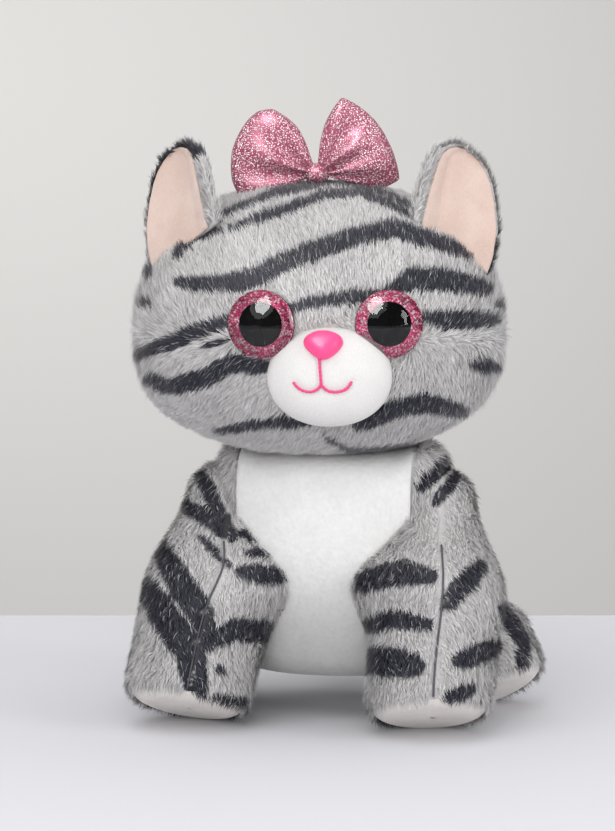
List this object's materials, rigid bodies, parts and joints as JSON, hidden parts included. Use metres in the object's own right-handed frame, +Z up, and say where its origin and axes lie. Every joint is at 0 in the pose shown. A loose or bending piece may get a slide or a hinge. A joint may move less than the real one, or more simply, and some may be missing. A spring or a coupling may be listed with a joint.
{
  "type": "seated plush cat",
  "caption": "Seated grey tabby plush cat with a white bib and muzzle, glitter eyes, a pink nose, peach ear linings and a shiny pink bow, with legs, ears, head and tail that flex at their seams.",
  "frame": {"origin": "on the floor under the middle of the bounding box, midway between the muzzle and the tail's tip", "axes": "+Z up, the cat looks towards -Y, +X towards the cat's left"},
  "size_m": [0.1454, 0.1884, 0.2224],
  "materials": {
    "grey_plush": "long-pile polyester plush, light grey printed with charcoal stripes",
    "white_plush": "short white minky plush",
    "base_cloth": "short grey plush",
    "fibre_fill": "loose polyester stuffing fibre",
    "pouch_cloth": "undyed spun-bonded cloth",
    "pellets": "polyethylene pellets, taken as one block",
    "grey_thread": "polyester sewing thread",
    "white_velour": "white velour with a very short pile",
    "nose_plastic": "glossy pink moulding",
    "washer_plastic": "natural plastic lock washer",
    "pink_thread": "pink embroidery thread",
    "eye_clear": "clear polished dome",
    "pink_glitter": "pink glitter in clear lacquer",
    "eye_black": "glossy black",
    "eye_back": "black moulding",
    "ear_velour": "pale peach velour with a short nap",
    "bow_knit": "metallic pink knit",
    "bow_thread": "pink sewing thread",
    "sole_velour": "cream velour with a short pile"
  },
  "bodies": {
    "torso": {"torso_back_cover": "grey_plush", "belly_panel": "white_plush", "base_panel": "base_cloth", "torso_filling": "fibre_fill", "pellet_pouch": "pouch_cloth", "pellet_load": "pellets", "neck_stitching": "grey_thread"},
    "head": {"neck_sleeve": "grey_plush", "neck_filling": "fibre_fill", "head_face_cover": "grey_plush", "head_back_cover": "grey_plush", "head_filling": "fibre_fill", "muzzle_cover": "white_velour", "muzzle_filling": "fibre_fill", "nose_button": "nose_plastic", "nose_washer": "washer_plastic", "mouth_stitching": "pink_thread", "left_eye_lens": "eye_clear", "left_eye_glitter_ring": "pink_glitter", "left_eye_pupil": "eye_black", "left_eye_post": "eye_back", "left_eye_washer": "washer_plastic", "right_eye_lens": "eye_clear", "right_eye_glitter_ring": "pink_glitter", "right_eye_pupil": "eye_black", "right_eye_post": "eye_back", "right_eye_washer": "washer_plastic", "bow_left_wing": "bow_knit", "bow_right_wing": "bow_knit", "bow_knot": "bow_knit", "bow_tack": "bow_thread"},
    "left_ear": {"left_ear_back": "grey_plush", "left_ear_lining": "ear_velour"},
    "right_ear": {"right_ear_back": "grey_plush", "right_ear_lining": "ear_velour"},
    "left_front_leg": {"left_front_leg_outer": "grey_plush", "left_front_leg_inner": "grey_plush", "left_front_paw_pad": "sole_velour", "left_front_leg_filling": "fibre_fill"},
    "right_front_leg": {"right_front_leg_outer": "grey_plush", "right_front_leg_inner": "grey_plush", "right_front_paw_pad": "sole_velour", "right_front_leg_filling": "fibre_fill"},
    "left_hind_leg": {"left_hind_leg_cover": "grey_plush", "left_hind_foot_pad": "sole_velour", "left_hind_leg_filling": "fibre_fill"},
    "right_hind_leg": {"right_hind_leg_cover": "grey_plush", "right_hind_foot_pad": "sole_velour", "right_hind_leg_filling": "fibre_fill"},
    "tail": {"tail_cover": "grey_plush", "tail_filling": "fibre_fill"}
  },
  "joints": [
    {"name": "neck_turn", "type": "hinge", "parent": "torso", "child": "head", "pos_m": [0, -0.031, 0.094], "axis": [0, 0, 1], "range_deg": [-30, 30], "stiffness_Nm_per_rad": 0.12},
    {"name": "left_ear_fold", "type": "hinge", "parent": "head", "child": "left_ear", "pos_m": [0.04784, -0.04704, 0.17276], "axis": [0.5892, 0.569, -0.5736], "range_deg": [-15, 40], "stiffness_Nm_per_rad": 0.012},
    {"name": "right_ear_fold", "type": "hinge", "parent": "head", "child": "right_ear", "pos_m": [-0.04962, -0.06354, 0.17358], "axis": [0.6627, -0.4815, 0.5736], "range_deg": [-15, 40], "stiffness_Nm_per_rad": 0.012},
    {"name": "left_shoulder_swing", "type": "hinge", "parent": "torso", "child": "left_front_leg", "pos_m": [0.038, -0.037, 0.07698], "axis": [-1, 0, 0], "range_deg": [0, 25], "stiffness_Nm_per_rad": 0.3},
    {"name": "right_shoulder_swing", "type": "hinge", "parent": "torso", "child": "right_front_leg", "pos_m": [-0.038, -0.037, 0.07698], "axis": [-1, 0, 0], "range_deg": [0, 25], "stiffness_Nm_per_rad": 0.3},
    {"name": "left_hip_swing", "type": "hinge", "parent": "torso", "child": "left_hind_leg", "pos_m": [0.045, -0.005, 0.03411], "axis": [-1, 0, 0], "range_deg": [0, 20], "stiffness_Nm_per_rad": 0.2},
    {"name": "right_hip_swing", "type": "hinge", "parent": "torso", "child": "right_hind_leg", "pos_m": [-0.045, -0.005, 0.03411], "axis": [-1, 0, 0], "range_deg": [0, 20], "stiffness_Nm_per_rad": 0.2},
    {"name": "tail_swing", "type": "hinge", "parent": "torso", "child": "tail", "pos_m": [0, 0.02333, 0.024], "axis": [0, 0, 1], "range_deg": [-35, 35], "stiffness_Nm_per_rad": 0.02}
  ]
}
